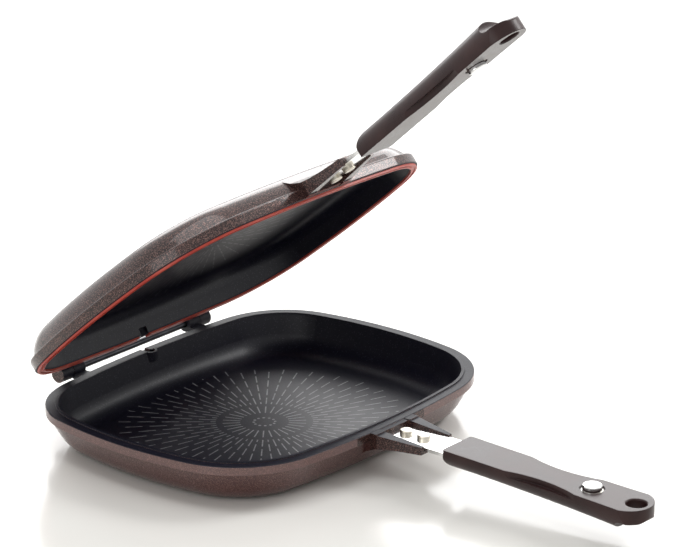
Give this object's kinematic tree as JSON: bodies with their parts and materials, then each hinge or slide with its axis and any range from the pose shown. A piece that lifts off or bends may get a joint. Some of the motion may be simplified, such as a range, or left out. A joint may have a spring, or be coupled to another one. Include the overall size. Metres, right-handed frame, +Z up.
{
  "type": "double sided flip pan",
  "caption": "Two hinged rounded-rectangle cast pans with a seal between their rims and half-round handles that latch together, so food can be cooked and turned over inside.",
  "frame": {"origin": "centre of the lower pan's flat base", "axes": "+Z up out of the lower pan, +X along the hinge, handles toward -Y, hinge at +Y"},
  "size_m": [0.29, 0.4596, 0.3339],
  "materials": {
    "coated_casting": "die-cast aluminium, dark brown speckled coat outside, black non-stick coat inside",
    "seal": "satin red-orange silicone",
    "rod_steel": "drawn",
    "shank_steel": "bright",
    "rivet_metal": "satin",
    "grip_resin": "satin dark brown moulded phenolic resin",
    "magnet_plating": "bright nickel plate",
    "cup_steel": "plated"
  },
  "bodies": {
    "pan": {"lower_pan": "coated_casting", "lower_shank": "shank_steel", "lower_rivets": "rivet_metal", "lower_grip": "grip_resin", "lower_magnet": "magnet_plating", "lower_magnet_cup": "cup_steel"},
    "lid": {"upper_pan": "coated_casting", "gasket": "seal", "hinge_rod": "rod_steel", "upper_shank": "shank_steel", "upper_rivets": "rivet_metal", "upper_grip": "grip_resin", "upper_magnet": "magnet_plating", "upper_magnet_cup": "cup_steel"}
  },
  "joints": [
    {"name": "lid_hinge", "type": "hinge", "parent": "pan", "child": "lid", "pos_m": [0, 0.1239, 0.0321], "axis": [-1, 0, 0], "range_deg": [-39.9, 60.1]}
  ]
}
